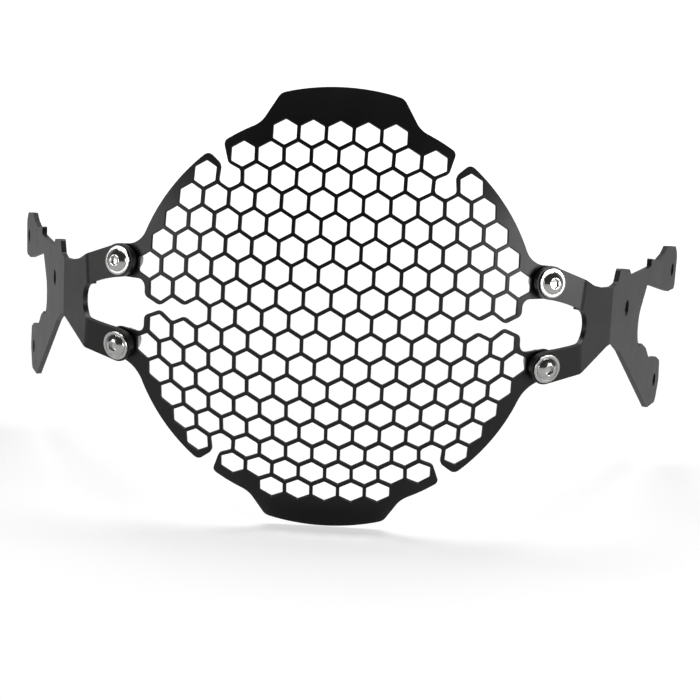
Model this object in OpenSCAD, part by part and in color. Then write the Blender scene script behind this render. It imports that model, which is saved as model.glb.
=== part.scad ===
// Headlight guard for a motorcycle: a domed sheet of hexagon mesh with six petals,
// carried at four ears by two folded side brackets, with a flanged button-head bolt,
// a rubber spacer, a washer and a lock nut at each ear.
// Millimetres, +X to the rider's left, -Y towards the road ahead, +Z up.
// The origin lies midway between the two upper holes of the side plates.

/* [Mesh sheet] */
// Pitch of the hexagon holes, side to side
cell_pitch = 12.5; // [11.5:0.5:13.5]
// Width of the ribs between the holes
rib_w = 1.6; // [1.2:0.1:2.4]
// Thickness of the mesh sheet
sheet_t = 1.5; // [1:0.25:2.5]
// Radius of the dome's front face
dome_r = 200; // [185:5:230]
// Radius of the round edge, measured along the sheet
rim_r = 98; // [96:1:101]
// Solid band outside the centres of the outermost holes
edge_band = 7; // [6:0.5:8]

/* [Petals] */
// Direction of the slits between the wings and the upper and lower petals, in degrees
slit_angle = 53; // [52:0.5:54]
// Distance from the middle to the first missing cell of the diagonal slits
slit_start = 76; // [74:1:80]
// Distance from the middle to the first missing cell of the level slits
side_slit_start = 60; // [58:1:62]
// Radius of the outer edge of the upper and lower tabs, along the sheet
tab_r = 109; // [106:1:114]
// Half width of the tabs at their outer edge
tab_half_w = 28; // [24:1:32]
// Lean of the tabs' side edges, in degrees
tab_lean = 29; // [24:1:34]
// Radius of the hollow between a tab and the round edge
tab_fillet = 6; // [4:1:8]

/* [Ears] */
// Distance of an ear's hole from the middle line, along the sheet
ear_out = 101; // [100:0.5:103]
// Height of an ear's hole above the level slit, along the sheet
ear_up = 23.5; // [22:0.5:25]
// Radius of the ear's round end
ear_r = 7.8; // [7:0.1:8.5]
// Radius of the hollow between the ear and the round edge
ear_fillet = 9; // [6:1:12]

/* [Brackets] */
// Thickness of the bracket plate
plate_t = 2.5; // [2:0.25:4]
// Inside radius of the folds
fold_r = 3; // [2:0.5:4]
// Radius of an arm's round end
arm_end_r = 7.75; // [7.25:0.25:9]
// Distance from the bolt to the fold of the arms
arm_reach = 18.5; // [17:0.5:22]
// How far the middle plate is swept back, in degrees
middle_sweep = 62; // [58:1:66]
// How far the side plate is swept back, in degrees
side_sweep = 72.5; // [70:0.5:76]
// Length of the middle plate, from fold to fold
middle_len = 36; // [33:1:42]
// Height of the upper arm's top edge at its fold
upper_fold_top = 20.6; // [19:0.2:22]
// Height of the upper arm's lower edge at its fold
upper_fold_low = 6.5; // [5.5:0.5:8]
// Depth of the lower arm's lower edge at its fold
lower_fold_low = 24; // [23:0.5:26]
// Depth of the lower arm's top edge at its fold
lower_fold_top = 9.7; // [9:0.5:11]
// Height of the side fold's upper end
side_fold_top = 12.5; // [11:0.5:14]
// Depth of the side fold's lower end, at the point of the V
side_fold_low = 15.5; // [14:0.5:17]
// Diameter of the holes at the rear of the side plate
frame_hole_d = 7; // [5.5:0.5:8]
// Diameter of the hole in the middle of the side plate
pass_hole_d = 8; // [6:0.5:9]

/* [Fasteners] */
// Diameter of the bolts
bolt_d = 6; // [5:1:6]
// Clearance of the bolt holes, on the diameter
hole_gap = 0.6; // [0.4:0.1:1]
// Diameter of the bolt's flange
flange_d = 13.6; // [12.5:0.1:14]
// Thickness of the bolt's flange
flange_t = 1.1; // [0.8:0.1:1.5]
// Diameter of the bolt's domed head
head_d = 10.5; // [9.5:0.1:11]
// Height of the bolt's head, with its flange
head_h = 3.6; // [3.3:0.1:4.2]
// Size of the hexagon socket across its flats
socket_af = 4; // [3:0.5:4]
// Depth of the hexagon socket
socket_depth = 2; // [1.5:0.1:2.2]
// Thickness of the rubber spacer between arm and ear
spacer_t = 2; // [1:0.5:4]
// Diameter of the rubber spacer
spacer_d = 14; // [12:0.5:15]
// Diameter of the washer behind the ear
washer_d = 12; // [11:0.5:14]
// Thickness of the washer
washer_t = 1.6; // [1:0.2:2]
// Width of the lock nut across its flats
nut_af = 10; // [9:0.5:11]
// Height of the lock nut
nut_h = 6; // [5:0.5:8]
// Length of thread that stands out of the nut
thread_out = 1.5; // [0.5:0.5:3]

/* [Hidden] */
$fn = 64;
eps = 0.01;
reach = 400;
arc_steps = 6;
row_pitch = cell_pitch * sin(60);
hole_af = cell_pitch - rib_w;
hole_corner_r = hole_af / sqrt(3);
mesh_r = rim_r - edge_band;
wing_mid = 50;
relief_from = 45;
relief_to = 80;
bolt_hole_d = bolt_d + hole_gap;
fold_out_r = fold_r + plate_t;
stack = plate_t + spacer_t;
corners = [["upper_left", 1, 1], ["upper_right", -1, 1], ["lower_left", 1, -1], ["lower_right", -1, -1]];

// Plane geometry
function unit(v) = v / norm(v);
function turn(v, a) = [v[0] * cos(a) - v[1] * sin(a), v[0] * sin(a) + v[1] * cos(a)];
function arc(c, r, from, to, steps = arc_steps) =
    [for (k = [0:steps]) c + r * [cos(from + (to - from) * k / steps), sin(from + (to - from) * k / steps)]];
function wrap(a) = a > 180 ? a - 360 : a < -180 ? a + 360 : a;

// An outline is a list of [x, y, radius]: each corner is replaced by an arc of its radius
function corner_arc(p, a, b, r) =
    let (u = unit(a - p), v = unit(b - p), half = acos(u * v) / 2,
         c = p + unit(u + v) * r / sin(half), s = p + u * r / tan(half) - c, e = p + v * r / tan(half) - c,
         from = atan2(s[1], s[0]), sweep = wrap(atan2(e[1], e[0]) - from))
    arc(c, r, from, from + sweep);
function xy(p) = [p[0], p[1]];
function rounded(pts) = [
    for (i = [0:len(pts) - 1])
        let (n = len(pts), p = pts[i], a = pts[(i + n - 1) % n], b = pts[(i + 1) % n])
            each (p[2] > 0 ? corner_arc(xy(p), xy(a), xy(b), p[2]) : [xy(p)])
];

// The dome's own frame has its centre of curvature at the origin, x to the side, y up and z forward.
// A flat point lies at the same distance along the dome as it had in the flat blank. Bending narrows
// the dome's circles, and each petal keeps its own width, so the slits between the petals close up.
function dome_angle(rho) = rho / dome_r * 180 / PI;
function ease(t) = let (c = min(1, max(0, t))) c * c * (3 - 2 * c);
function spread(rho) =
    let (a = max(dome_angle(rho), 0.01), full = a * PI / 180 / sin(a))
    1 + (full - 1) * ease((rho - relief_from) / (relief_to - relief_from));
function quadrant(p) = [abs(p[0]), abs(p[1])];
function flat_angle(p) = atan2(abs(p[1]), abs(p[0]));
function petal_mid(p) = flat_angle(p) < slit_angle ? wing_mid : 90;
function bent_angle(p, mid) = mid + (flat_angle(p) - mid) * spread(norm(p));
function signed(a, p) = p[0] < 0 ? (p[1] < 0 ? 180 + a : 180 - a) : (p[1] < 0 ? -a : a);

// Puts a shape that was drawn round a flat point where that point lies on the dome, facing outwards
module on_dome(p, mid) {
    rotate([0, 0, signed(bent_angle(p, mid), p)])
        rotate([0, dome_angle(norm(p)), 0])
            rotate([0, 0, -signed(flat_angle(p), p)])
                children();
}

// A cut through the sheet, square to it, with the outline of the 2D children
module through() {
    translate([0, 0, dome_r - 12]) linear_extrude(20) children();
}

// Cone from the centre of curvature: everything within rho of the middle, along the sheet
module within(rho) {
    h = dome_r + 10;
    cylinder(h = h, r1 = 0, r2 = h * tan(dome_angle(rho)), $fn = 180);
}

// Hexagon holes, with two corners on the vertical
function cell_at(u, v) = [u * cell_pitch / 2, v * row_pitch];
function off_slit_line(p) = abs(turn(quadrant(p), -slit_angle)[1]);
function in_slit(p) =
    (abs(p[1]) < 0.1 && norm(p) > side_slit_start) ||
    (off_slit_line(p) < cell_pitch / 4 && norm(p) > slit_start);
rows = ceil(mesh_r / row_pitch);
columns = ceil(2 * mesh_r / cell_pitch);
cells = [
    for (v = [-rows:rows]) for (u = [-columns:columns])
        let (p = cell_at(u, v))
            if ((u + v) % 2 == 0 && norm(p) < mesh_r && !in_slit(p)) p
];
function first(list) = list[0];
diagonal_cells = [for (v = [0:rows]) let (p = cell_at(v + 2, v)) if (norm(p) > slit_start) p];
side_cells = [for (u = [0:2:columns + 2]) let (p = cell_at(u, 0)) if (norm(p) > side_slit_start) p];

module hexagon_hole() {
    translate([0, 0, dome_r - 12]) cylinder(h = 20, r = hole_corner_r, $fn = 6);
}

// A run of missing cells, with the ribs between them gone too
module missing_cells(run, step_angle, mid) {
    step = cell_pitch * [cos(step_angle), sin(step_angle)];
    for (p = run) {
        on_dome(p, mid) rotate([0, 0, 30]) hexagon_hole();
        on_dome(p + step / 2, mid)
            rotate([0, 0, step_angle]) through() square([cell_pitch, hole_corner_r], center = true);
    }
}

// The part of space on one side of a plane through the dome's axis
module sector(from) {
    rotate([0, 0, from]) translate([-reach, 0, -eps]) cube([2 * reach, reach, reach]);
}

// The mouth of a diagonal slit, on its wing's side and on its petal's side
slit_base = first(diagonal_cells);
mouth_at = slit_base + cell_pitch * [cos(60), sin(60)];
tip_r = 2.4;
module wing_mouth() {
    side = slit_base + [hole_af / 2, 2.5];
    tip = unit(turn([1, 0], slit_angle - 3.2)) * (rim_r - tip_r);
    outer = rim_r + 20;
    on_dome(mouth_at, wing_mid) through() translate(-mouth_at)
        polygon(concat(
            [side],
            arc(tip, tip_r, 150, slit_angle - 4),
            [outer * [cos(slit_angle - 6), sin(slit_angle - 6)], outer * [cos(60), sin(60)], slit_base]
        ));
}
module petal_mouth() {
    side = mouth_at - [hole_af / 2, 0];
    corner = unit(turn([1, 0], slit_angle + 5.2)) * (rim_r - tip_r);
    outer = rim_r + 20;
    on_dome(mouth_at, 90) through() translate(-mouth_at)
        polygon(concat(
            [side - [0, 3], side + [0, 1.5]],
            arc(corner, tip_r, -30, slit_angle + 4),
            [outer * [cos(slit_angle + 7), sin(slit_angle + 7)], outer * [cos(46), sin(46)], slit_base]
        ));
}

// The mouth of a level slit: it passes the last cell's rim and runs out below the ear
last_side_cell = cell_at(13, 1);
ear_floor = ear_up - ear_r;
module side_mouth() {
    rim_x = last_side_cell[0] + cell_pitch / 2 + rib_w / 2;
    r = 4;
    at = [rim_x + 6, 4];
    on_dome(at, wing_mid) through() translate(-at)
        polygon(concat(
            [[rim_x, -20], [rim_x, ear_floor - r]],
            arc([rim_x + r, ear_floor - r], r, 180, 90),
            [[rim_x + 40, ear_floor], [rim_x + 40, -20]]
        ));
}

module slits() {
    for (sx = [0, 1]) for (sy = [0, 1])
        mirror([sx, 0, 0]) mirror([0, sy, 0]) {
            intersection() {
                union() {
                    missing_cells(side_cells, 0, wing_mid);
                    side_mouth();
                }
                sector(0);
            }
            intersection() {
                union() {
                    missing_cells(diagonal_cells, 60, wing_mid);
                    wing_mouth();
                }
                mirror([0, 1, 0]) sector(-slit_angle);
            }
            intersection() {
                union() {
                    missing_cells(diagonal_cells, 60, 90);
                    petal_mouth();
                }
                sector(slit_angle);
            }
        }
}

// Upper tab: straight leaning sides, hollowed where they meet the round edge
module tab() {
    top = [tab_half_w, tab_r * cos(asin(tab_half_w / tab_r))];
    down = [sin(tab_lean), -cos(tab_lean)];
    out = [cos(tab_lean), sin(tab_lean)];
    // The hollow's centre lies tab_fillet outside both the side edge and the round edge
    base = top + tab_fillet * out;
    along = -(base * down) - sqrt(pow(base * down, 2) - base * base + pow(rim_r + tab_fillet, 2));
    hollow = base + along * down;
    at = [0, rim_r];
    bevel = 2.5;
    top_from = atan2(top[1], top[0] - bevel);
    half = concat(
        arc(hollow, tab_fillet, 180 + atan2(hollow[1], hollow[0]), 180 + tab_lean),
        [top + bevel * down],
        arc([0, 0], tab_r, top_from, 90 - 2)
    );
    other = [for (i = [len(half) - 1:-1:0]) [-half[i][0], half[i][1]]];
    on_dome(at, 90) through() translate(-at)
        polygon(concat([[half[0][0], rim_r - 15]], half, other, [[-half[0][0], rim_r - 15]]));
}

// Ear: a round end at the bolt, a level floor and a hollow up to the round edge
ear_at = [ear_out, ear_up];
module ear() {
    away = norm(ear_at);
    span = ear_r + ear_fillet;
    out = rim_r + ear_fillet;
    lift = acos((away * away + out * out - span * span) / (2 * away * out));
    hollow = out * [cos(flat_angle(ear_at) + lift), sin(flat_angle(ear_at) + lift)];
    root_x = ear_out - 20;
    on_dome(ear_at, wing_mid) through() translate(-ear_at) difference() {
        union() {
            translate(ear_at) circle(ear_r);
            polygon([
                [ear_out, ear_floor], ear_at, ear_at + ear_r * unit(hollow - ear_at),
                hollow * rim_r / out, [root_x, hollow[1] - 4], [root_x, ear_floor]
            ]);
        }
        translate(hollow) circle(ear_fillet);
    }
}

module four_ways() {
    for (sx = [0, 1]) for (sy = [0, 1]) mirror([sx, 0, 0]) mirror([0, sy, 0]) children();
}

// Everything below is built in the dome's frame and turned upright at the end
module mesh_sheet() {
    difference() {
        intersection() {
            rotate([90, 0, 0]) difference() {
                sphere(dome_r, $fn = 180);
                sphere(dome_r - sheet_t, $fn = 180);
            }
            union() {
                within(rim_r);
                for (s = [0, 1]) mirror([0, s, 0]) tab();
                four_ways() ear();
            }
        }
        slits();
        for (p = cells) on_dome(p, petal_mid(p)) rotate([0, 0, 30]) hexagon_hole();
        four_ways() on_dome(ear_at, wing_mid) through() circle(d = bolt_hole_d);
    }
}

// Directions of the folded plates
ear_dir = let (b = bent_angle(ear_at, wing_mid), a = dome_angle(norm(ear_at)))
    [sin(a) * cos(b), sin(a) * sin(b), cos(a)];
middle_dir = [cos(middle_sweep), 0, -sin(middle_sweep)];
middle_face = [sin(middle_sweep), 0, cos(middle_sweep)];
side_dir = [cos(side_sweep), 0, -sin(side_sweep)];
side_face = [sin(side_sweep), 0, cos(side_sweep)];
fold_dir = unit(cross(ear_dir, middle_face));
arm_dir = cross(fold_dir, ear_dir);
arm_fold = acos(ear_dir * middle_face);
side_fold = side_sweep - middle_sweep;

// Places on the outer faces
bolt_seat = ear_dir * (dome_r + stack);
fold_point = bolt_seat + arm_reach * arm_dir;
middle_start = fold_point - fold_point[1] / fold_dir[1] * fold_dir;
side_start = middle_start + middle_len * middle_dir;
fold_slope = (fold_dir * middle_dir) / fold_dir[1];

// A frame with its origin at o, x along a, y along b and z along c
module frame(o, a, b, c) {
    multmatrix([
        [a[0], b[0], c[0], o[0]],
        [a[1], b[1], c[1], o[1]],
        [a[2], b[2], c[2], o[2]],
        [0, 0, 0, 1]
    ])
    children();
}

// Section of the space inside a fold: the far plate runs along +x from the corner, and the near plate
// turns down to the left. An inset of plate_t gives the space inside the inner faces.
fold_steps = 6;
function fold_section(angle, inset, far_open) =
    let (r = fold_out_r - inset, c = fold_out_r * [tan(angle / 2), -1],
         bend = arc(c, r, 90 + angle, 90, fold_steps), first = bend[0], last = bend[fold_steps],
         step = angle / fold_steps / 2,
         away = far_open ? last + 6 * [cos(step), sin(step)] : last + [190, 0])
    concat(
        [first - 120 * [cos(angle), sin(angle)]], bend, [away],
        far_open ? [[200, 150]] : [],
        [[200, -150], [-120 * cos(angle), -150]]
    );

// Everything inside the plates' faces, which all fold the same way
module inside(inset) {
    intersection() {
        for_fold(1, inset);
        for_fold(-1, inset);
        frame(side_start, side_dir, side_face, [0, -1, 0])
            linear_extrude(240, center = true) polygon(fold_section(side_fold, inset, false));
    }
}
module for_fold(side, inset) {
    mirror([0, side > 0 ? 0 : 1, 0])
        frame(fold_point, cross(fold_dir, middle_face), middle_face, -fold_dir)
            linear_extrude(240, center = true) polygon(fold_section(arm_fold, inset, true));
}

// A cut through a plate whose outer face lies in the plane z = 0
module outline() {
    translate([0, 0, -plate_t - 6]) linear_extrude(plate_t + 11) children();
}

// Height on the fold line, in the arm's own coordinates, of a height above the guard's middle
function on_fold(height) = (height - fold_point[1]) / fold_dir[1];
function bow(a, b, c) = [for (t = [0.15:0.15:0.9]) (1 - t) * (1 - t) * a + 2 * t * (1 - t) * b + t * t * c];
past = 1.5;

// An arm, drawn for the upper side: high and low are the heights of its edges at the fold
module arm_outline(high, low, low_bow) {
    h = on_fold(high);
    l = on_fold(low);
    frame(bolt_seat, arm_dir, fold_dir, ear_dir) outline() union() {
        circle(arm_end_r);
        polygon(concat(
            [[0, arm_end_r], [arm_reach, h], [arm_reach + past, h - past], [arm_reach + past, l + past]],
            bow([arm_reach, l], [arm_reach - 6, low_bow], [2, -arm_end_r]),
            [[2, -arm_end_r], [0, -arm_end_r]]
        ));
    }
}

// Middle plate: the arms' folds on one side, the side plate's fold on the other
c_cut_r = 8.6;
c_cut_deep = 7.5;
module middle_outline() {
    function at_upper(x, y) = [fold_slope * y + x, y];
    function at_lower(x, y) = [-fold_slope * y + x, y];
    c_mid = (upper_fold_low - lower_fold_top) / 2;
    frame(middle_start, middle_dir, [0, 1, 0], middle_face) outline() difference() {
        polygon(rounded([
            concat(at_upper(-past, upper_fold_top - past), 0),
            concat(at_upper(0, upper_fold_top), 0),
            [13, upper_fold_top - 4, 30],
            [26, side_fold_top + 1, 20],
            [middle_len, side_fold_top, 0],
            [middle_len + past, side_fold_top - past, 0],
            [middle_len + past, past - side_fold_low, 0],
            [middle_len, -side_fold_low, 0],
            [middle_len - 3, -side_fold_low - 0.3, 3],
            [7, 0.8 - lower_fold_low, 8],
            concat(at_lower(0, -lower_fold_low), 0),
            concat(at_lower(-past, past - lower_fold_low), 0),
            concat(at_lower(-past, 0), 0),
            concat(at_upper(-past, 0.1), 0)
        ]));
        translate([c_cut_deep - c_cut_r, c_mid]) circle(c_cut_r);
    }
}

// Side plate: a neck with a rounded bump, an upper ear straight back and a leg down and back
upper_hole = [143, -2.3];
lower_hole = [116.5, -57.6];
pass_hole = [33.5, -3.7];
module side_outline() {
    frame(side_start, side_dir, [0, 1, 0], side_face) outline() polygon(rounded([
        [-past, side_fold_top - past, 0],
        [0, side_fold_top, 0],
        [9, side_fold_top + 0.3, 2],
        [14, 19, 2],
        [34, 15.6, 3],
        [40, 11, 5],
        [86, 8.4, 1],
        [86, 12.6, 0.8],
        [105, 8.8, 6],
        [118, 10.2, 4],
        [126, 13, 2],
        [148, 9.6, 3],
        [154, 4.5, 6],
        [152.5, -14, 3],
        [136, -13, 10],
        [80, 0.4, 4],
        [64, -13, 10],
        [64, -26, 12],
        [71, -30.5, 1],
        [77, -30, 1.5],
        [88, -34.5, 2],
        [98, -42, 2],
        [117, -45, 3],
        [127, -49, 3],
        [129, -60, 8],
        [123, -71, 5],
        [103, -69.8, 5],
        [25, -23.6, 30],
        [8, -side_fold_low - 0.4, 3],
        [0, -side_fold_low, 0],
        [-past, past - side_fold_low, 0]
    ]));
}

module bracket() {
    difference() {
        intersection() {
            difference() {
                inside(0);
                inside(plate_t);
            }
            union() {
                arm_outline(upper_fold_top, upper_fold_low, -8.4);
                mirror([0, 1, 0]) arm_outline(lower_fold_low, lower_fold_top, -7.2);
                middle_outline();
                side_outline();
            }
        }
        for (side = [0, 1]) mirror([0, side, 0])
            frame(bolt_seat, arm_dir, fold_dir, ear_dir) outline() circle(d = bolt_hole_d);
        frame(side_start, side_dir, [0, 1, 0], side_face) outline() {
            translate(upper_hole) circle(d = frame_hole_d);
            translate(lower_hole) circle(d = frame_hole_d);
            translate(pass_hole) circle(d = pass_hole_d);
        }
    }
}

// Fasteners stand on the dome at an ear, with z = 0 at the sheet's front face
module at_ear() {
    frame([0, 0, 0], arm_dir, fold_dir, ear_dir) translate([0, 0, dome_r]) children();
}

module bolt() {
    cap_r = (pow(head_d / 2, 2) + pow(head_h - flange_t, 2)) / (2 * (head_h - flange_t)) + 0.8;
    shank = stack + washer_seat + washer_t + nut_h + thread_out;
    translate([0, 0, stack]) difference() {
        union() {
            cylinder(h = flange_t, d = flange_d);
            intersection() {
                cylinder(h = head_h, d = head_d);
                translate([0, 0, head_h - cap_r]) sphere(cap_r);
            }
            translate([0, 0, -shank]) cylinder(h = shank + eps, d = bolt_d);
        }
        translate([0, 0, head_h - socket_depth])
            cylinder(h = socket_depth + 1, d = socket_af / cos(30), $fn = 6);
    }
}

module spacer() {
    difference() {
        translate([0, 0, -1]) cylinder(h = spacer_t + 1, d = spacer_d);
        translate([0, 0, -dome_r]) sphere(dome_r, $fn = 360);
        translate([0, 0, -2]) cylinder(h = spacer_t + 4, d = bolt_hole_d);
    }
}

// A flat washer touches the hollow rear face of the sheet with its rim
washer_seat = dome_r - sqrt(pow(dome_r - sheet_t, 2) - pow(washer_d / 2, 2));
module washer() {
    translate([0, 0, -washer_seat - washer_t]) difference() {
        cylinder(h = washer_t, d = washer_d);
        translate([0, 0, -1]) cylinder(h = washer_t + 2, d = bolt_hole_d);
    }
}

module lock_nut() {
    collar_h = nut_h / 3;
    translate([0, 0, -washer_seat - washer_t - nut_h]) difference() {
        union() {
            translate([0, 0, collar_h]) cylinder(h = nut_h - collar_h, d = nut_af / cos(30), $fn = 6);
            cylinder(h = collar_h + eps, d = nut_af - 1);
        }
        translate([0, 0, -1]) cylinder(h = nut_h + 2, d = bolt_d + 0.1);
    }
}

// Turns the dome's frame upright and moves the upper holes' midpoint to the origin
hole_place = side_start + upper_hole[0] * side_dir + upper_hole[1] * [0, 1, 0];
module upright() {
    rotate([90, 0, 0]) translate([0, -hole_place[1], -hole_place[2]]) children();
}
module to_corner(c) {
    upright() mirror([c[1] > 0 ? 0 : 1, 0, 0]) mirror([0, c[2] > 0 ? 0 : 1, 0]) at_ear() children();
}

color([0.10, 0.10, 0.11]) upright() mesh_sheet();  // mesh_guard
color([0.16, 0.16, 0.17]) upright() bracket();  // left_bracket
color([0.16, 0.16, 0.17]) upright() mirror([1, 0, 0]) bracket();  // right_bracket
for (c = corners) {
    color([0.80, 0.80, 0.80]) to_corner(c) bolt();
    color([0.05, 0.05, 0.05]) to_corner(c) spacer();
    color([0.70, 0.70, 0.70]) to_corner(c) washer();
    color([0.65, 0.65, 0.66]) to_corner(c) lock_nut();
}
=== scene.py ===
# %% [markdown]
# # A motorcycle headlight guard
#
# The object is a thin dome, taken to be steel, cut full of hexagons and coated black. It is bolted
# at four ears to two folded side brackets. The solid model already has every plate at its estimated
# size, so this lesson adds what a camera sees: the coat's fine texture, bright stainless bolts with
# turned heads, sockets and threads, rubber spacers that bulge a little, a studio and a camera.

# %% Load the solid model and note its size
import math

import bmesh
import bpy
import numpy as np
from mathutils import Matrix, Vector
from mathutils.geometry import delaunay_2d_cdt


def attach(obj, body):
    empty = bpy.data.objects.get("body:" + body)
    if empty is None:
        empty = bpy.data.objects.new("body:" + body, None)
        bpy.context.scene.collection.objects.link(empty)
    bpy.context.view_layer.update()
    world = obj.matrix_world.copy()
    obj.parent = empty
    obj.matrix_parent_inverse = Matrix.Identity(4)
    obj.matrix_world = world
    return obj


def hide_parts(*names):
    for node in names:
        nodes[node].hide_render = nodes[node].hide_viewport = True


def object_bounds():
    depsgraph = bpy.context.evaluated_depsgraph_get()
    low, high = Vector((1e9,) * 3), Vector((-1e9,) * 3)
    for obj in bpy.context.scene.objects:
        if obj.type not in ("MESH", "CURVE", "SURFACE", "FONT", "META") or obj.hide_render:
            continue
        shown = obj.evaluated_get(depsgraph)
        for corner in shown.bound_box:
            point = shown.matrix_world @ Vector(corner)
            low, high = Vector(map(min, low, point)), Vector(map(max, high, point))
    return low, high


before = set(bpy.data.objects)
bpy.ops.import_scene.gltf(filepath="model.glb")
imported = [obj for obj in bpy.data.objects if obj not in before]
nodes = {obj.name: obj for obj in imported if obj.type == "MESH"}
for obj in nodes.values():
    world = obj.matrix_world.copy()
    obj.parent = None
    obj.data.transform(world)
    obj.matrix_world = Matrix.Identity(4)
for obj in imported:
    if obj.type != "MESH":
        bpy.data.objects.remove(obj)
cad_bounds = [list(corner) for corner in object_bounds()]
MM = 0.001
CORNERS = {"upper_left": (1, 1), "upper_right": (-1, 1), "lower_left": (1, -1), "lower_right": (-1, -1)}
print("nodes:", len(nodes), "box:", cad_bounds)

# %% [markdown]
# ## The camera
#
# The photograph was taken from a little above and a little to one side, with a long lens. Its place
# was found by fitting a camera to the mesh's 189 hexagons, so here it is set by its position, its
# turn and its focal length. A long lens keeps the far brackets nearly as large as the near dome.

# %% Set up the camera
camera_data = bpy.data.cameras.new("photo_camera")
camera_data.lens = 108.67
camera_data.sensor_width = 36.0
camera_data.clip_start = 0.05
camera_data.clip_end = 20.0
camera = bpy.data.objects.new("photo_camera", camera_data)
camera.location = (0.04116, -1.12274, 0.20360)
camera.rotation_euler = [math.radians(a) for a in (77.0743, -2.6229, 2.5531)]
bpy.context.scene.collection.objects.link(camera)
bpy.context.scene.camera = camera
print("camera at", tuple(camera.location))

# %% [markdown]
# ## Helpers for node materials
#
# Every finish below is procedural: noise in object coordinates, measured in metres, so a grain of
# half a millimetre stays half a millimetre on each piece. These two short helpers add a node and
# set its inputs, which keeps the recipes readable.


# %% Node helpers
def add(tree, kind, **inputs):
    """Adds a node and sets its inputs or properties by name."""
    node = tree.nodes.new(kind)
    for key, value in inputs.items():
        name = key.replace("_", " ")
        if name in node.inputs:
            node.inputs[name].default_value = value
        else:
            setattr(node, key, value)
    return node


def new_group(name, inputs, outputs):
    """Makes an empty shader group with named inputs and outputs, and returns it with its ends."""
    tree = bpy.data.node_groups.new(name, "ShaderNodeTree")
    for label, kind, value in inputs:
        socket = tree.interface.new_socket(name=label, in_out="INPUT", socket_type=kind)
        socket.default_value = value
    for label, kind in outputs:
        tree.interface.new_socket(name=label, in_out="OUTPUT", socket_type=kind)
    return tree, tree.nodes.new("NodeGroupInput"), tree.nodes.new("NodeGroupOutput")


def use(tree, group, **inputs):
    """Places a group in a material and sets its inputs."""
    node = tree.nodes.new("ShaderNodeGroup")
    node.node_tree = group
    for key, value in inputs.items():
        node.inputs[key.replace("_", " ")].default_value = value
    return node


def new_material(name):
    """Makes an empty node material and returns it, its tree and its Principled BSDF."""
    material = bpy.data.materials.new(name)
    material.use_nodes = True
    tree = material.node_tree
    tree.nodes.clear()
    output = tree.nodes.new("ShaderNodeOutputMaterial")
    shader = tree.nodes.new("ShaderNodeBsdfPrincipled")
    tree.links.new(shader.outputs["BSDF"], output.inputs["Surface"])
    return material, tree, shader


def connect(tree, *pairs):
    """Links each (output, input) pair."""
    for out, into in pairs:
        tree.links.new(out, into)


FLOAT = "NodeSocketFloat"
COLOR = "NodeSocketColor"
print("helpers ready")

# %% [markdown]
# ## Grain: one group for every fine surface
#
# Powder coat, moulded rubber and brushed steel all need the same thing: a small bump, a roughness
# that changes from place to place, and a colour that isn't quite even. The group takes the size of
# the grain and how strong each effect is. Two sizes of noise are mixed, because a real coat has both
# fine orange peel and slow waves.


# %% The grain group
def make_grain_group():
    tree, start, end = new_group(
        "surface_grain",
        [("Color", COLOR, (0.5, 0.5, 0.5, 1)), ("Fine Scale", FLOAT, 2500.0), ("Wave Scale", FLOAT, 90.0),
         ("Roughness", FLOAT, 0.4), ("Roughness Spread", FLOAT, 0.08), ("Color Spread", FLOAT, 0.1)],
        [("Color", COLOR), ("Roughness", FLOAT), ("Height", FLOAT)])
    place = add(tree, "ShaderNodeTexCoord")
    fine = add(tree, "ShaderNodeTexNoise", Detail=2.0, Roughness=0.55)
    wave = add(tree, "ShaderNodeTexNoise", Detail=3.0, Roughness=0.5)
    rough = add(tree, "ShaderNodeMath", operation="MULTIPLY_ADD")
    centred = add(tree, "ShaderNodeMath", operation="SUBTRACT")
    centred.inputs[1].default_value = 0.5
    shade = add(tree, "ShaderNodeMath", operation="MULTIPLY_ADD")
    shade.inputs[2].default_value = 1.0
    tint = add(tree, "ShaderNodeMix", data_type="RGBA", blend_type="MULTIPLY")
    tint.inputs[0].default_value = 1.0
    grey = add(tree, "ShaderNodeCombineColor")
    height = add(tree, "ShaderNodeMath", operation="MULTIPLY_ADD")
    height.inputs[1].default_value = 0.35
    connect(
        tree,
        (place.outputs["Object"], fine.inputs["Vector"]),
        (place.outputs["Object"], wave.inputs["Vector"]),
        (start.outputs["Fine Scale"], fine.inputs["Scale"]),
        (start.outputs["Wave Scale"], wave.inputs["Scale"]),
        (wave.outputs["Fac"], centred.inputs[0]),
        (centred.outputs[0], rough.inputs[0]), (start.outputs["Roughness Spread"], rough.inputs[1]),
        (start.outputs["Roughness"], rough.inputs[2]),
        (centred.outputs[0], shade.inputs[0]), (start.outputs["Color Spread"], shade.inputs[1]),
        (shade.outputs[0], grey.inputs[0]), (shade.outputs[0], grey.inputs[1]),
        (shade.outputs[0], grey.inputs[2]),
        (start.outputs["Color"], tint.inputs[6]), (grey.outputs[0], tint.inputs[7]),
        (wave.outputs["Fac"], height.inputs[0]), (fine.outputs["Fac"], height.inputs[2]),
        (tint.outputs[2], end.inputs["Color"]), (rough.outputs[0], end.inputs["Roughness"]),
        (height.outputs[0], end.inputs["Height"]))
    return tree


grain = make_grain_group()
print("group:", grain.name)
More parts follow.
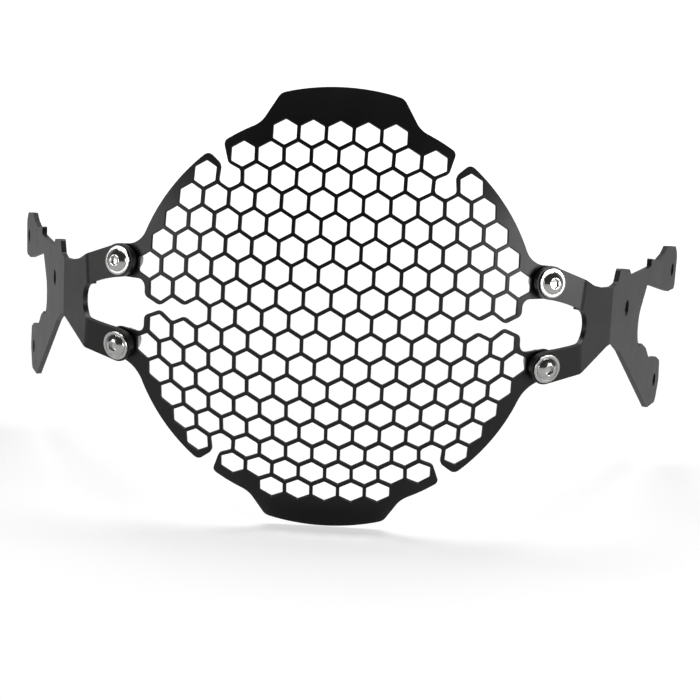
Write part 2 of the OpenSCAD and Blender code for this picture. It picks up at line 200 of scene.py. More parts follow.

# %% [markdown]
# ## Thin coat and painted highlight on the edges: a second group
#
# A powder coat draws back from sharp edges, so there the film is thinner and looks a little greyer.
# This lighter edge colour is also a painted highlight along the edges.
# The Bevel node looks for edges nearby and bends the normal there. Where that normal differs from the
# true one, there is an edge, and the group puts this out as a mask. The rounds themselves are in the
# meshes, so the bent normal isn't used for the shading.


# %% The edge group
def make_edge_group():
    tree, start, end = new_group("edges_thin_coat_and_painted_highlight", [("Edge Gain", FLOAT, 3.0)], [("Edge", FLOAT)])
    bevel = add(tree, "ShaderNodeBevel", samples=6)
    bevel.inputs["Radius"].default_value = 0.28 * MM
    geometry = add(tree, "ShaderNodeNewGeometry")
    same = add(tree, "ShaderNodeVectorMath", operation="DOT_PRODUCT")
    less = add(tree, "ShaderNodeMath", operation="SUBTRACT")
    less.inputs[0].default_value = 1.0
    gain = add(tree, "ShaderNodeMath", operation="MULTIPLY", use_clamp=True)
    connect(
        tree,
        (bevel.outputs["Normal"], same.inputs[0]), (geometry.outputs["Normal"], same.inputs[1]),
        (same.outputs["Value"], less.inputs[1]), (less.outputs[0], gain.inputs[0]),
        (start.outputs["Edge Gain"], gain.inputs[1]), (gain.outputs[0], end.inputs["Edge"]))
    return tree


edges = make_edge_group()
print("group:", edges.name)

# %% [markdown]
# ## Powder coat
#
# Black powder coat is a satin plastic film on steel: dark, a little rough, with a weak clear sheen
# that turns grey where a side light grazes it. Both coats are equally rough, and the brackets' base
# colour is a little lighter than the mesh's. Both were matched to grey levels in one photograph.


# %% The two coats
def make_coat(name, color, roughness, bump, edge_coat_and_highlight_color):
    material, tree, shader = new_material(name)
    surface = use(tree, grain, Color=color, Fine_Scale=1700.0, Wave_Scale=75.0, Roughness=roughness,
                  Roughness_Spread=0.10, Color_Spread=0.30)
    # The edge mask mixes in a lighter colour: partly a thinner coat, partly a painted highlight on the edges.
    edge_film_and_highlight = use(tree, edges, Edge_Gain=2.5)
    relief = add(tree, "ShaderNodeBump", Strength=bump, Distance=0.04 * MM)
    thin_coat_and_highlight = add(tree, "ShaderNodeMix", data_type="RGBA", blend_type="MIX")
    thin_coat_and_highlight.inputs[7].default_value = edge_coat_and_highlight_color
    connect(
        tree,
        (surface.outputs["Color"], thin_coat_and_highlight.inputs[6]), (edge_film_and_highlight.outputs["Edge"], thin_coat_and_highlight.inputs[0]),
        (thin_coat_and_highlight.outputs[2], shader.inputs["Base Color"]),
        (surface.outputs["Roughness"], shader.inputs["Roughness"]),
        (surface.outputs["Height"], relief.inputs["Height"]),
        (relief.outputs["Normal"], shader.inputs["Normal"]))
    shader.inputs["Specular IOR Level"].default_value = 0.46
    return material


mesh_coat = make_coat("mesh_powder_coat", (0.0035, 0.0035, 0.0037, 1), 0.38, 0.30, (0.012, 0.012, 0.012, 1))
plate_coat = make_coat("bracket_powder_coat", (0.005, 0.005, 0.0052, 1), 0.38, 0.30, (0.016, 0.016, 0.016, 1))
print("coats:", mesh_coat.name, plate_coat.name)

# %% [markdown]
# ## Steel and rubber
#
# The bolts are bright stainless steel: nearly a mirror, but with fine lines from turning. The grain
# group gives the small changes of gloss. Washers and nuts are duller. The spacers are plain black
# rubber, rough enough to show no reflection.


# %% Steel and rubber materials
def make_steel(name, color, roughness, spread):
    material, tree, shader = new_material(name)
    surface = use(tree, grain, Color=color, Fine_Scale=5000.0, Wave_Scale=400.0, Roughness=roughness,
                  Roughness_Spread=spread, Color_Spread=0.12)
    relief = add(tree, "ShaderNodeBump", Strength=0.05, Distance=0.01 * MM)
    connect(
        tree,
        (surface.outputs["Color"], shader.inputs["Base Color"]),
        (surface.outputs["Roughness"], shader.inputs["Roughness"]),
        (surface.outputs["Height"], relief.inputs["Height"]),
        (relief.outputs["Normal"], shader.inputs["Normal"]))
    shader.inputs["Metallic"].default_value = 1.0
    return material


def make_rubber(name):
    material, tree, shader = new_material(name)
    surface = use(tree, grain, Color=(0.010, 0.010, 0.010, 1), Fine_Scale=3000.0, Wave_Scale=300.0,
                  Roughness=0.75, Roughness_Spread=0.1, Color_Spread=0.2)
    relief = add(tree, "ShaderNodeBump", Strength=0.3, Distance=0.03 * MM)
    connect(
        tree,
        (surface.outputs["Color"], shader.inputs["Base Color"]),
        (surface.outputs["Roughness"], shader.inputs["Roughness"]),
        (surface.outputs["Height"], relief.inputs["Height"]),
        (relief.outputs["Normal"], shader.inputs["Normal"]))
    return material


bolt_steel = make_steel("bright_stainless", (0.66, 0.655, 0.64, 1), 0.16, 0.06)
plain_steel = make_steel("plain_stainless", (0.62, 0.62, 0.61, 1), 0.32, 0.12)
rubber = make_rubber("spacer_rubber")
print("steel and rubber ready")

# %% [markdown]
# ## Where a fastener stands
#
# Each bolt stands square to the dome at its ear. The ear's hole lies at a known place in the flat
# sheet, and pressing the sheet into a dome keeps its distance from the middle. So the angle from the
# dome's axis is that distance over the radius, and the direction round the axis is almost the flat
# one. All four corners are mirror images of the upper left one.

# %% The frame of each ear
DOME_R, SHEET_T, SPACER_T, PLATE_T = 200.0, 1.5, 2.0, 2.5
EAR = np.array([101.0, 23.5])
WING_MIDDLE = 50.0
DOME_FRONT = np.array([0.0, -196.469, 2.3])


def ear_frame(side, level):
    """The place of the sheet's front face at an ear, and the directions across, up and out of it.

    The angle from the axis is rho / R. Bending spreads the directions away from the wing's middle
    by angle / sin(angle), which keeps the ear as wide as it was when flat.
    """
    rho = float(np.hypot(*EAR))
    tilt = rho / DOME_R
    middle = math.radians(WING_MIDDLE)
    turn = middle + (math.atan2(EAR[1], EAR[0]) - middle) * tilt / math.sin(tilt)
    out = np.array([side * math.sin(tilt) * math.cos(turn), -math.cos(tilt),
                    level * math.sin(tilt) * math.sin(turn)])
    centre = DOME_FRONT + np.array([0.0, DOME_R, 0.0])
    across = np.cross([0.0, 0.0, 1.0], out)
    across /= np.linalg.norm(across)
    return centre + DOME_R * out, across, np.cross(out, across), out


for corner, (side, level) in CORNERS.items():
    place = ear_frame(side, level)[0]
    print(corner, "ear at", np.round(place, 2))

# %% [markdown]
# ## The mesh guard, drawn flat
#
# A guard like this is cut from flat sheet, and only then pressed into a dome. So it is
# drawn flat here too: one outline that runs into the six slits and round the ears and tabs, 189
# hexagons and four bolt holes. Every corner is an arc, as a laser leaves it. The outline is worked
# out for one quarter, and mirrored into the other three, in millimetres along the sheet.


# %% Arcs and rounded corners
PITCH, RIB, TAB_R = 12.5, 1.7, 109.0
SLIT_TURN = 53.0
LEVEL_SLIT_FROM, SLANT_SLIT_FROM, CELLS_TO = 60, 76, 91
EASE_FROM, EASE_OVER = 66.0, 22.0
EAR_R, EAR_HOLE_R, SLIT_END = 7.8, 3.3, 57.05
TAB_HALF, TAB_LEAN, TAB_NECK = 28.0, 29, 11.0
SHEET_ROUND, PLATE_ROUND = 0.22, 0.3
ROW = PITCH * math.sin(math.radians(60))
HOLE = PITCH - RIB


def arc(centre, r, start, end, steps=10):
    """Points on a circle: centre + r (cos a, sin a), with a in degrees from start to end."""
    a = np.radians(np.linspace(start, end, steps + 1))
    return np.asarray(centre, float) + r * np.stack([np.cos(a), np.sin(a)], -1)


def angle_of(v):
    return math.degrees(math.atan2(v[1], v[0]))


def corners_to_arcs(points, steps=6):
    """Replaces each inner point [x, y, r] of a path by an arc of radius r that touches both its sides.

    The arc's centre lies on the bisector, r / sin(half the corner's angle) from the corner. The first
    and last points only give directions and are left out.
    """
    points = np.asarray(points, float)
    p, r = points[1:-1, :2], points[1:-1, 2:]
    u, v = points[:-2, :2] - p, points[2:, :2] - p
    u, v = u / np.linalg.norm(u, axis=1, keepdims=True), v / np.linalg.norm(v, axis=1, keepdims=True)
    half = np.arccos(np.clip((u * v).sum(1, keepdims=True), -1, 1)) / 2
    centre = p + (u + v) / np.linalg.norm(u + v, axis=1, keepdims=True) * r / np.sin(half)
    s, e = p + u * r / np.tan(half) - centre, p + v * r / np.tan(half) - centre
    a = np.arctan2(s[:, 1], s[:, 0])
    sweep = (np.arctan2(e[:, 1], e[:, 0]) - a + math.pi) % (2 * math.pi) - math.pi
    t = np.linspace(0, 1, steps + 1)
    turn = a[:, None] + sweep[:, None] * t
    return (centre[:, None, :] + r[:, None] * np.stack([np.cos(turn), np.sin(turn)], -1)).reshape(-1, 2)


print("hexagon across flats:", HOLE)

# %% [markdown]
# ## One quarter of the outline
#
# The path starts at the closed end of the level slit, follows the ribs of the cells along it, turns
# round the ear and up the round edge, dips into the slanted slit, and ends in the middle of the tab.
# The rims along the slits follow the cells' hexagons about one rib further out, with soft corners.


# %% The outline of a quarter
def quarter(rim, petal_rim, fillet, floor):
    """Outline of one quarter from the level slit to the tab, from its rims' radii and its ear."""
    slit = corners_to_arcs([
        [SLIT_END, -1, 0], [SLIT_END, 3.15, 1.6], [62.5, 6.29, 1.8], [68.75, 2.5, 3.2], [75, 6.29, 1.8],
        [81.25, 2.5, 3.2], [89.4, 7.3, 3.2], [89.4, floor, 4.0], [100.3, 15.73, 0]])
    ear, ear_r = EAR, EAR_R
    away, span, out = np.linalg.norm(ear), ear_r + fillet, rim + fillet
    lift = math.degrees(math.acos((away ** 2 + out ** 2 - span ** 2) / (2 * away * out)))
    at = math.radians(angle_of(ear) + lift)
    hollow = out * np.array([math.cos(at), math.sin(at)])
    round_ear = arc(ear, ear_r, -95, angle_of(hollow - ear), 14)
    into_rim = arc(hollow, fillet, angle_of(ear - hollow) % 360, 180 + angle_of(hollow), 10)[1:]
    wing_edge = arc([0, 0], rim, angle_of(hollow), 47.8, 24)[1:]
    tip = rim * np.array([math.cos(math.radians(50.6)), math.sin(math.radians(50.6))])
    bay = petal_rim * np.array([math.cos(math.radians(57.0)), math.sin(math.radians(57.0))])
    after = petal_rim * np.array([math.cos(math.radians(60.5)), math.sin(math.radians(60.5))])
    mouth = corners_to_arcs([
        [*wing_edge[-1], 0], [*tip, 3.1], [55.0, 69.6, 4.4], [55.45, 61.8, 2.2], [50, 58.66, 2.2],
        [44.55, 61.8, 2.2], [44.55, 68.1, 2.2], [50.2, 71.3, 3.5], [*bay, 3.0], [*after, 0]])
    lean = math.radians(TAB_LEAN)
    top = np.array([TAB_HALF, math.sqrt(TAB_R ** 2 - TAB_HALF ** 2)])
    down, side = np.array([math.sin(lean), -math.cos(lean)]), np.array([math.cos(lean), math.sin(lean)])
    base = top + TAB_NECK * side
    along = -(base @ down) - math.sqrt((base @ down) ** 2 - base @ base + (petal_rim + TAB_NECK) ** 2)
    dip = base + along * down
    petal_edge = arc([0, 0], petal_rim, 61.0, angle_of(dip), 6)
    into_tab = arc(dip, TAB_NECK, 180 + angle_of(dip), 180 + TAB_LEAN, 8)[1:]
    tab = corners_to_arcs([[*into_tab[-1], 0], [*top, 5.0], [*arc([0, 0], TAB_R, 79, 90, 1)[0], 0]])
    tab_edge = arc([0, 0], TAB_R, 78, 90, 10)
    return np.concatenate([
        [[SLIT_END, 0.0]], slit, round_ear, into_rim, wing_edge, mouth, petal_edge, into_tab, tab, tab_edge])


upper = quarter(rim=97.5, petal_rim=97.5, fillet=10.0, floor=14.8)
lower = quarter(rim=98.7, petal_rim=98.0, fillet=14.0, floor=15.7)
outline = np.concatenate([
    upper[:-1], (upper * [-1, 1])[::-1][:-1], (lower * [-1, -1])[:-1], (lower * [1, -1])[::-1][:-1]])
print("outline points:", len(outline), "half width:", round(outline[:, 0].max(), 2))

# %% [markdown]
# ## The holes
#
# The cells lie on a triangular lattice, with two corners up and down. Cells are left out beyond the
# band at the edge and where a slit takes them. Each hole is the same rounded hexagon.


# %% Hexagon holes and bolt holes
def hexagon_loop(across, corner):
    """A hexagon with its corners up and down, each replaced by an arc, as 24 points clockwise."""
    a = np.radians(90 - 60 * np.arange(-1, 7))
    far = across / 2 / math.cos(math.pi / 6)
    return corners_to_arcs(np.stack([far * np.cos(a), far * np.sin(a), np.full(8, corner)], -1), 3)


v, u = np.meshgrid(np.arange(-9, 10), np.arange(-16, 17), indexing="ij")
place = np.stack([u * PITCH / 2, v * ROW], -1)
far = np.hypot(place[..., 0], place[..., 1])
slant = np.radians(-SLIT_TURN)
off_slit = np.abs(np.abs(place[..., 0]) * math.sin(slant) + np.abs(place[..., 1]) * math.cos(slant))
taken = ((np.abs(v) == 0) & (far > LEVEL_SLIT_FROM)) | ((off_slit < PITCH / 4) & (far > SLANT_SLIT_FROM))
cells = place[((u + v) % 2 == 0) & (far < CELLS_TO) & ~taken]
ears = np.array([[sx * EAR[0], sy * EAR[1]] for sx in (1, -1) for sy in (1, -1)])
print("hexagons:", len(cells))

# %% [markdown]
# ## From sheet to dome
#
# Pressing moves each point along the dome by the same distance it had from the middle. The dome's
# circles are shorter than the flat ones were, so the petals move together round the axis, and the
# slits between them close a little. The walls are then made by carrying each outline through the
# sheet's thickness, with a small round at both faces, and the faces are filled by a triangulation
# that keeps every outline's edges. The normals are known from the same arithmetic, so the flat faces
# stay flat in the light and only the rounds are shaded round.


# %% The bending
def bend(flat, depth):
    """Puts flat points (n, 2) on the dome at a depth below its front face.

    The angle from the axis is a = rho / R. The direction round the axis is the petal's own middle
    plus the flat distance from it times 1 + (a / sin a - 1) w, where w eases in from rho 66 to 88.
    """
    rho = np.hypot(flat[:, 0], flat[:, 1])
    a = rho / DOME_R
    full = np.divide(a, np.sin(a), out=np.ones_like(a), where=a > 1e-6)
    t = np.clip((rho - EASE_FROM) / EASE_OVER, 0, 1)
    ease = t * t * (3 - 2 * t)
    turn = np.arctan2(np.abs(flat[:, 1]), np.abs(flat[:, 0]))
    middle = np.radians(np.where(turn < math.radians(SLIT_TURN), WING_MIDDLE, 90.0))
    turn = middle + (turn - middle) * (1 + (full - 1) * ease)
    sx, sy = np.where(flat[:, 0] < 0, -1.0, 1.0), np.where(flat[:, 1] < 0, -1.0, 1.0)
    r = DOME_R - depth
    return DOME_FRONT + np.stack([
        r * np.sin(a) * np.cos(turn) * sx, DOME_R - r * np.cos(a), r * np.sin(a) * np.sin(turn) * sy], -1)


# %% The guard's mesh
def inset_outline(points, by):
    """Moves a closed anticlockwise outline inwards: each point along the mean of its sides' normals."""
    side = np.roll(points, -1, 0) - points
    side /= np.linalg.norm(side, axis=1, keepdims=True)
    normal = np.stack([-side[:, 1], side[:, 0]], -1)
    mean = normal + np.roll(normal, 1, 0)
    return points + by * mean * 2 / (mean ** 2).sum(1, keepdims=True)


def all_loops(by):
    """Every loop of the sheet, with the material's edge drawn back by a distance."""
    cell = hexagon_loop(HOLE + 2 * by, 0.7 + by)
    circle = arc([0, 0], EAR_HOLE_R + by, 0, -360, 32)[:-1]
    holes = (cells[:, None, :] + cell[None]).reshape(-1, 2)
    bolts = (ears[:, None, :] + circle[None]).reshape(-1, 2)
    return np.concatenate([inset_outline(outline, by), holes, bolts])


def next_in_loop():
    """For each loop point, the number of the next one round its own loop."""
    sizes = [len(outline)] + [24] * len(cells) + [32] * len(ears)
    start = np.repeat(np.cumsum([0] + sizes[:-1]), sizes)
    number = np.arange(sum(sizes))
    return start + (number - start + 1) % np.repeat(sizes, sizes)


def make_guard():
    round_r = SHEET_ROUND
    part = 1 - math.sqrt(0.5)
    steps = [(round_r, 0.0), (round_r * part, round_r * part), (0.0, round_r), (0.0, SHEET_T - round_r),
             (round_r * part, SHEET_T - round_r * part), (round_r, SHEET_T)]
    edge, following = all_loops(round_r), next_in_loop()
    gx, gy = np.meshgrid(np.arange(-112, 113, 4.0), np.arange(-112, 113, 4.0))
    grid = np.stack([gx.ravel(), gy.ravel()], -1)
    near = np.min(np.linalg.norm(grid[:, None, :] - edge[None, ::2, :], axis=2), axis=1)
    middles = np.concatenate([cells, ears])
    inside = np.min(np.linalg.norm(grid[:, None, :] - middles[None], axis=2), axis=1) < PITCH * 0.55
    grid = grid[(near > 1.6) & ~inside]
    flat = np.concatenate([edge, grid])
    pairs = np.stack([np.arange(len(edge)), following], -1)
    found, _, triangles, *_ = delaunay_2d_cdt([Vector(p) for p in flat], pairs.tolist(), [], 5, 1e-6)
    found = np.array([tuple(p) for p in found])
    count = len(edge)
    same = len(found) <= len(flat) and np.allclose(found[:count], edge, atol=1e-4)
    print("fill:", len(triangles), "triangles, outlines kept:", same)
    extra = found[count:]
    triangles = np.array(triangles)
    hole = np.concatenate([
        np.full(len(outline), -1), np.repeat(np.arange(len(cells)), 24),
        len(cells) + np.repeat(np.arange(len(ears)), 32), np.full(len(extra), -1)])[triangles]
    triangles = triangles[~((hole[:, 0] >= 0) & (hole[:, 0] == hole[:, 1]) & (hole[:, 1] == hole[:, 2]))]
    used = np.unique(triangles[triangles >= count])
    number = np.arange(len(found))
    number[used] = count + np.arange(len(used))
    triangles, extra = number[triangles], found[used]
    loops = [bend(all_loops(by), depth) for by, depth in steps]
    inner = [bend(extra, 0.0), bend(extra, SHEET_T)]
    centre = DOME_FRONT + np.array([0, DOME_R, 0])
    verts = np.concatenate(loops + inner)
    face_out = (verts - centre) / np.linalg.norm(verts - centre, axis=1, keepdims=True)
    edgewise = loops[2] - bend(all_loops(round_r), round_r)
    edgewise /= np.linalg.norm(edgewise, axis=1, keepdims=True)
    up = face_out[:count]
    normals = np.concatenate([up, up + edgewise, edgewise, edgewise, edgewise - up, -up,
                              face_out[6 * count:6 * count + len(extra)], -face_out[6 * count + len(extra):]])
    normals /= np.linalg.norm(normals, axis=1, keepdims=True)
    front = np.where(triangles < count, triangles, triangles + 5 * count)
    back = np.where(triangles < count, triangles + 5 * count, triangles + 5 * count + len(extra))[:, ::-1]
    one = np.arange(count)
    walls = np.concatenate([
        np.stack([one + k * count, one + (k + 1) * count,
                  following + (k + 1) * count, following + k * count], -1)
        for k in range(5)])
    mesh = bpy.data.meshes.new("pressed_guard")
    faces = front.tolist() + back.tolist() + walls.tolist()
    mesh.from_pydata((verts * MM).tolist(), [], faces)
    mesh.update()
    return mesh, normals


guard_mesh, guard_normals = make_guard()


def place_piece(name, mesh, material, replaces, normals=None):
    """Makes a finished piece from a mesh: material, smooth faces, its own normals, and what it stands for."""
    mesh.materials.clear()
    mesh.materials.append(material)
    mesh.polygons.foreach_set("use_smooth", np.ones(len(mesh.polygons), bool))
    if normals is not None:
        mesh.normals_split_custom_set_from_vertices(normals.tolist())
    piece = bpy.data.objects.new(name, mesh)
    bpy.context.scene.collection.objects.link(piece)
    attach(piece, "root")
    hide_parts(replaces)
    return piece


place_piece("pressed_guard", guard_mesh, mesh_coat, "mesh_guard", guard_normals)
print("guard faces:", len(guard_mesh.polygons))

# %% [markdown]
# ## The brackets
#
# Each bracket is one folded plate, and its solid is already right: two arms, a middle plate, a side
# plate with a rounded bump, two ears and three holes. A plate like this is usually tumbled before it
# is coated, so its cut edges are rounded. A copy of the solid is merged, its flat faces are joined again,
# and every edge sharper than 25 degrees gets a round of 0.3 millimetres. Each corner's normal
# is then the mean of its faces by their area, so that the large faces stay flat in the light.


# %% Round the brackets' edges
def area_normals(mesh):
    """Vertex normals as the sum of the faces' normals times their areas, in whole arrays."""
    count = len(mesh.polygons)
    area, normal = np.empty(count), np.empty(count * 3)
    mesh.polygons.foreach_get("area", area)
    mesh.polygons.foreach_get("normal", normal)
    total, start = np.empty(count, int), np.empty(len(mesh.loops), int)
    mesh.polygons.foreach_get("loop_total", total)
    mesh.loops.foreach_get("vertex_index", start)
    weight = np.repeat(normal.reshape(-1, 3) * area[:, None], total, axis=0)
    sums = np.zeros((len(mesh.vertices), 3))
    np.add.at(sums, start, weight)
    return sums / np.maximum(np.linalg.norm(sums, axis=1, keepdims=True), 1e-30)


def rounded_copy(node, radius):
    """A merged copy of a node's mesh with its sharp edges rounded."""
    mesh = nodes[node].data.copy()
    mesh.name = "tumbled_" + node
    work = bmesh.new()
    work.from_mesh(mesh)
    bmesh.ops.remove_doubles(work, verts=work.verts, dist=1e-6)
    bmesh.ops.dissolve_limit(work, angle_limit=math.radians(1.0), verts=work.verts, edges=work.edges)
    sharp = [e for e in work.edges if len(e.link_faces) == 2 and e.calc_face_angle() > math.radians(25)]
    bmesh.ops.bevel(work, geom=sharp, offset=radius, offset_type="OFFSET", segments=2, profile=0.5,
                    affect="EDGES", clamp_overlap=True)
    bmesh.ops.triangulate(work, faces=[f for f in work.faces if len(f.verts) > 4])
    work.to_mesh(mesh)
    work.free()
    return mesh


for name in ("left_bracket", "right_bracket"):
    bracket_mesh = rounded_copy(name, PLATE_ROUND * MM)
    place_piece("tumbled_" + name, bracket_mesh, plate_coat, name, area_normals(bracket_mesh))
    print(name, "faces:", len(bracket_mesh.polygons))

# %% [markdown]
# ## Surfaces from rings
#
# Bolt, nut, washer and spacer are all rings stacked along an axis. Each is worked out as one numpy
# grid: a row per ring and a column per angle, with the radius as a function of both. That lets one
# surface change from a hexagon to a circle, or wind a thread round a shank.


# %% Build a mesh from a grid of rings
def hexagon(angle, across_flats):
    """Radius of a hexagon at an angle: the flat's distance over the cosine from its middle."""
    from_flat = (angle + math.pi / 6) % (math.pi / 3) - math.pi / 6
    return across_flats / 2 / np.cos(from_flat)


def ring_mesh(name, radius, height, corner, material, slot, replaces, loop=False):
    """Makes one object from radius and height arrays (rings by angles), in millimetres, at an ear.

    A point is place + r cos(a) across + r sin(a) up + h out. The first and last rings are closed
    with a fan unless the rings form a loop of their own.
    """
    rings, count = radius.shape
    angle = np.arange(count) * 2 * math.pi / count
    place, across, up, out = ear_frame(*CORNERS[corner])
    point = (place + radius[..., None] * np.cos(angle)[None, :, None] * across
             + radius[..., None] * np.sin(angle)[None, :, None] * up + height[..., None] * out)
    i, j = np.meshgrid(np.arange(rings if loop else rings - 1), np.arange(count), indexing="ij")
    k, n = (j + 1) % count, (i + 1) % rings
    faces = np.stack([i * count + j, i * count + k, n * count + k, n * count + j], -1).reshape(-1, 4)
    verts = point.reshape(-1, 3)
    faces = [tuple(face) for face in faces.tolist()]
    if not loop:
        faces.append(tuple(reversed(range(count))))
        faces.append(tuple(range((rings - 1) * count, rings * count)))
    mesh = bpy.data.meshes.new(name)
    mesh.from_pydata((verts * MM).tolist(), [], faces)
    mesh.update()
    obj = bpy.data.objects.new(name, mesh)
    bpy.context.scene.collection.objects.link(obj)
    mesh.materials.append(material)
    tidy_normals(obj)
    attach(obj, "root")
    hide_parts(replaces)
    return obj


def tidy_normals(obj, sharp=35.0):
    """Points every face outwards, and shades smooth except across edges sharper than an angle."""
    work = bmesh.new()
    work.from_mesh(obj.data)
    bmesh.ops.recalc_face_normals(work, faces=work.faces)
    for edge in work.edges:
        edge.smooth = len(edge.link_faces) == 2 and edge.calc_face_angle() < math.radians(sharp)
    for face in work.faces:
        face.smooth = True
    work.to_mesh(obj.data)
    work.free()


def rings(rows, count):
    """Turns (radius, height) rows into grids. A radius may be a number or a function of the angle."""
    angle = np.arange(count) * 2 * math.pi / count
    radius = np.array([row[0](angle) if callable(row[0]) else np.full(count, float(row[0])) for row in rows])
    height = np.array([np.full(count, float(row[1])) for row in rows])
    return radius, height


print("ring builder ready")

# %% [markdown]
# ## The bolt
#
# It is a flanged button head: a thin round flange with a low dome on it and a hexagon socket in the
# dome. The shank's thread shows behind the nut. Going outwards from the socket's floor, the rings
# are a hexagon, then the same hexagon at the socket's mouth, then circles over the dome, down to
# the flange, round its rim and back to the shank. The thread is the radius pulled in and out by a
# triangle wave that climbs one pitch per turn.

# %% Make the four bolts
BOLT_D, FLANGE_D, FLANGE_T, HEAD_D, HEAD_H, SOCKET, SOCKET_DEEP = 6.0, 13.6, 1.1, 10.5, 3.6, 4.0, 2.0
STACK = SPACER_T + PLATE_T
WASHER_D, WASHER_T, NUT_AF, NUT_H, THREAD_OUT = 12.0, 1.6, 10.0, 6.0, 1.5
BORE_R, SPACER_END_R, SPACER_SEAT_R = 3.35, 6.7, 7.0
WASHER_SEAT = DOME_R - math.sqrt((DOME_R - SHEET_T) ** 2 - (WASHER_D / 2) ** 2)
CAP_R = ((HEAD_D / 2) ** 2 + (HEAD_H - FLANGE_T) ** 2) / (2 * (HEAD_H - FLANGE_T)) + 0.8
SHANK = STACK + WASHER_SEAT + WASHER_T + NUT_H + THREAD_OUT
COUNT = 96


def cap_height(r):
    """Height of the domed cap above the flange's seat, at a radius."""
    return HEAD_H - CAP_R + math.sqrt(CAP_R ** 2 - r ** 2)


def bolt_rings():
    """Rings from the socket's floor over the head and down the threaded shank."""
    def flat(scale):
        return lambda angle: hexagon(angle, SOCKET * scale)

    mouth = SOCKET / 2 * 1.28
    rows = [(0.05, HEAD_H - SOCKET_DEEP - 0.25), (flat(0.8), HEAD_H - SOCKET_DEEP - 0.05),
            (flat(1.0), HEAD_H - SOCKET_DEEP), (flat(1.0), cap_height(mouth) - 0.22),
            (flat(1.04), cap_height(mouth) - 0.08), (mouth, cap_height(mouth))]
    rows += [(r, cap_height(r)) for r in np.linspace(mouth + 0.25, HEAD_D / 2 - 0.12, 9)]
    edge = cap_height(HEAD_D / 2)
    rows += [(HEAD_D / 2, edge - 0.08), (HEAD_D / 2 + 0.02, FLANGE_T + 0.10),
             (HEAD_D / 2 + 0.10, FLANGE_T - 0.10), (HEAD_D / 2 + 0.28, FLANGE_T - 0.10),
             (HEAD_D / 2 + 0.42, FLANGE_T)]
    rows += [(FLANGE_D / 2 - 0.3, FLANGE_T), (FLANGE_D / 2 - 0.1, FLANGE_T - 0.06),
             (FLANGE_D / 2, FLANGE_T - 0.25), (FLANGE_D / 2, 0.2), (FLANGE_D / 2 - 0.15, 0.0),
             (BOLT_D / 2 + 0.1, 0.0)]
    radius, height = rings(rows, COUNT)
    pitch, deep = 1.0, 0.32
    z = np.arange(0.1, SHANK - 0.6, pitch / 8)
    angle = np.arange(COUNT) / COUNT
    phase = (z[:, None] / pitch + angle[None, :]) % 1.0
    grow = np.clip(z / 4.0, 0, 1)[:, None] * np.clip((SHANK - 0.6 - z) / 0.8, 0, 1)[:, None]
    thread = BOLT_D / 2 - deep * grow * np.abs(2 * phase - 1)
    tip, tip_h = rings([(BOLT_D / 2 - 0.15, -SHANK + 0.5), (BOLT_D / 2 - 0.7, -SHANK), (0.05, -SHANK)], COUNT)
    radius = np.concatenate([radius, thread, tip])
    height = np.concatenate([height, np.repeat(-z[:, None], COUNT, 1), tip_h])
    return radius, height + STACK


radius, height = bolt_rings()
for corner in CORNERS:
    ring_mesh(f"turned_bolt_{corner}", radius, height, corner, bolt_steel, "bolt", f"bolt_{corner}")
print("bolt rings:", radius.shape)

# %% [markdown]
# ## Spacer, washer and nut
#
# The rubber spacer is squeezed, so its side bulges. The washer is punched, so its rear edge is
# round. The nut is a hexagon whose corners are turned away by a cone, with the round collar of a
# locking nut behind it. For the nut, the radius is the smaller of the hexagon and the cone.


# %% Make the spacers, washers and nuts
def spacer_rings():
    """A short tube whose side bulges by a sine, closed by its bore."""
    rear = -(DOME_R - math.sqrt(DOME_R ** 2 - SPACER_SEAT_R ** 2))
    rows = [(BORE_R, 0.02), (SPACER_END_R, rear * 0.9)]
    rows += [(6.75 + 0.22 * math.sin(math.pi * t), rear + 0.05 + (SPACER_T - 0.05 - rear) * t)
             for t in np.linspace(0.04, 0.96, 9)]
    rows += [(SPACER_END_R, SPACER_T), (BORE_R, SPACER_T)]
    return rings(rows, 64)


def washer_rings():
    front, back = -WASHER_SEAT, -WASHER_SEAT - WASHER_T
    rim = WASHER_D / 2
    rows = [(BORE_R, back), (rim - 0.25, back), (rim - 0.06, back + 0.06), (rim, back + 0.25),
            (rim, front - 0.02), (rim - 0.02, front), (BORE_R, front)]
    return rings(rows, 64)


def nut_rings():
    front = -WASHER_SEAT - WASHER_T
    angle = np.arange(COUNT) * 2 * math.pi / COUNT
    flats = hexagon(angle, NUT_AF)
    rows, limits = [], [(0.0, 9.2), (0.12, 9.9), (0.55, 12.0), (NUT_H * 2 / 3 - 0.75, 12.0),
                        (NUT_H * 2 / 3 - 0.3, 10.9), (NUT_H * 2 / 3, 9.7)]
    for depth, limit in limits:
        rows.append((np.minimum(flats, limit / 2), front - depth))
    collar = [(4.5, 2 / 3 * NUT_H), (4.5, NUT_H - 0.7), (4.38, NUT_H - 0.35),
              (4.0, NUT_H - 0.08), (3.6, NUT_H), (3.07, NUT_H - 0.15)]
    rows += [(np.full(COUNT, r), front - depth) for r, depth in collar]
    rows.append((np.full(COUNT, 3.07), front - 0.15))
    rows.append((np.full(COUNT, 3.4), front))
    radius = np.array([row[0] for row in rows])
    return radius, np.repeat(np.array([row[1] for row in rows])[:, None], COUNT, 1)


for corner in CORNERS:
    ring_mesh(f"squeezed_spacer_{corner}", *spacer_rings(), corner, rubber,
              "rubber", f"spacer_{corner}", loop=True)
    ring_mesh(f"punched_washer_{corner}", *washer_rings(), corner, plain_steel,
              "washer", f"washer_{corner}", loop=True)
    ring_mesh(f"lock_nut_{corner}", *nut_rings(), corner, plain_steel, "nut", f"nut_{corner}", loop=True)
print("fasteners:", 4 * len(CORNERS))

# %% [markdown]
# ## The studio
#
# Product photographs of black metal are lit from the sides: two soft boxes give the wings and
# the side plates their grey sheen, while the front stays dark. A third one lights the floor from
# above. The floor and the background are white to the camera, and the floor takes a faint shadow.


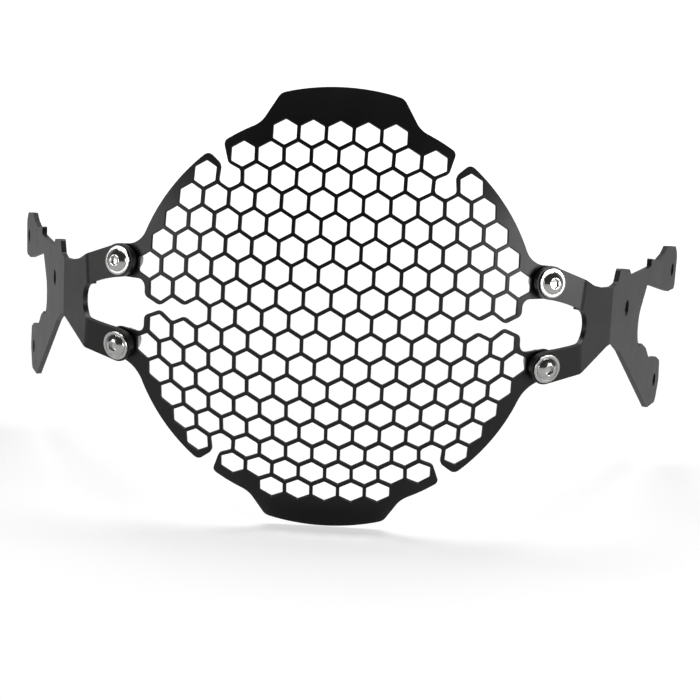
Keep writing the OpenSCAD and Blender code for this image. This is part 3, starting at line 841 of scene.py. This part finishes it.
# %% Floor and world
def make_floor():
    low = cad_bounds[0][2] - 0.0005
    size = 6.0
    mesh = bpy.data.meshes.new("floor")
    square = [(-size, -size, low), (size, -size, low), (size, size, low), (-size, size, low)]
    mesh.from_pydata(square, [], [(0, 1, 2, 3)])
    floor = bpy.data.objects.new("floor", mesh)
    bpy.context.scene.collection.objects.link(floor)
    material, tree, shader = new_material("white_paper")
    shader.inputs["Base Color"].default_value = (0.60, 0.60, 0.60, 1)
    shader.inputs["Roughness"].default_value = 0.9
    shader.inputs["Emission Color"].default_value = (1, 1, 1, 1)
    path = add(tree, "ShaderNodeLightPath")
    place = add(tree, "ShaderNodeTexCoord")
    reach = add(tree, "ShaderNodeVectorMath", operation="LENGTH")
    fade = add(tree, "ShaderNodeMapRange", interpolation_type="SMOOTHSTEP")
    for socket, value in (("From Min", 0.25), ("From Max", 1.3), ("To Min", 0.56), ("To Max", 1.0)):
        fade.inputs[socket].default_value = value
    gloss = add(tree, "ShaderNodeMath", operation="MULTIPLY_ADD")
    gloss.inputs[1].default_value = 0.15
    glow = add(tree, "ShaderNodeMath", operation="MULTIPLY")
    connect(tree, (place.outputs["Object"], reach.inputs[0]), (reach.outputs["Value"], fade.inputs["Value"]),
            (path.outputs["Is Glossy Ray"], gloss.inputs[0]),
            (path.outputs["Is Camera Ray"], gloss.inputs[2]),
            (gloss.outputs[0], glow.inputs[0]), (fade.outputs["Result"], glow.inputs[1]),
            (glow.outputs[0], shader.inputs["Emission Strength"]))
    mesh.materials.append(material)
    return floor


def make_world():
    world = bpy.data.worlds.new("studio_world")
    bpy.context.scene.world = world
    world.use_nodes = True
    tree = world.node_tree
    tree.nodes.clear()
    output = tree.nodes.new("ShaderNodeOutputWorld")
    seen = add(tree, "ShaderNodeBackground", Color=(1, 1, 1, 1), Strength=1.0)
    room = add(tree, "ShaderNodeBackground", Color=(1, 1, 1, 1))
    mix = add(tree, "ShaderNodeMixShader")
    path = add(tree, "ShaderNodeLightPath")
    direction = add(tree, "ShaderNodeTexCoord")
    parts = add(tree, "ShaderNodeSeparateXYZ")
    fade = add(tree, "ShaderNodeMapRange", interpolation_type="SMOOTHSTEP")
    for socket, value in (("From Min", 0.0), ("From Max", 1.0), ("To Min", 0.035), ("To Max", 0.42)):
        fade.inputs[socket].default_value = value
    connect(
        tree,
        (direction.outputs["Generated"], parts.inputs[0]), (parts.outputs["Y"], fade.inputs["Value"]),
        (fade.outputs["Result"], room.inputs["Strength"]),
        (path.outputs["Is Camera Ray"], mix.inputs[0]), (room.outputs[0], mix.inputs[1]),
        (seen.outputs[0], mix.inputs[2]), (mix.outputs[0], output.inputs["Surface"]))


make_floor()
make_world()
print("floor and world ready")


# %% Soft boxes
def soft_box(name, place, target, size, watts):
    data = bpy.data.lights.new(name, "AREA")
    data.shape = "RECTANGLE"
    data.size, data.size_y = size
    data.energy = watts
    light = bpy.data.objects.new(name, data)
    light.location = place
    aim = Vector(target) - Vector(place)
    light.rotation_euler = aim.to_track_quat("-Z", "Y").to_euler()
    bpy.context.scene.collection.objects.link(light)


soft_box("right_box", (1.46, -0.98, 0.26), (0, -0.12, 0.02), (0.7, 0.7), 12)
soft_box("left_box", (-1.40, -0.98, 0.26), (0, -0.12, 0.02), (0.6, 0.7), 5)
soft_box("top_box", (0.0, 0.25, 1.5), (0, -0.05, 0), (1.6, 0.8), 18)
bpy.context.scene.view_settings.view_transform = "Standard"
print("lights:", 3)
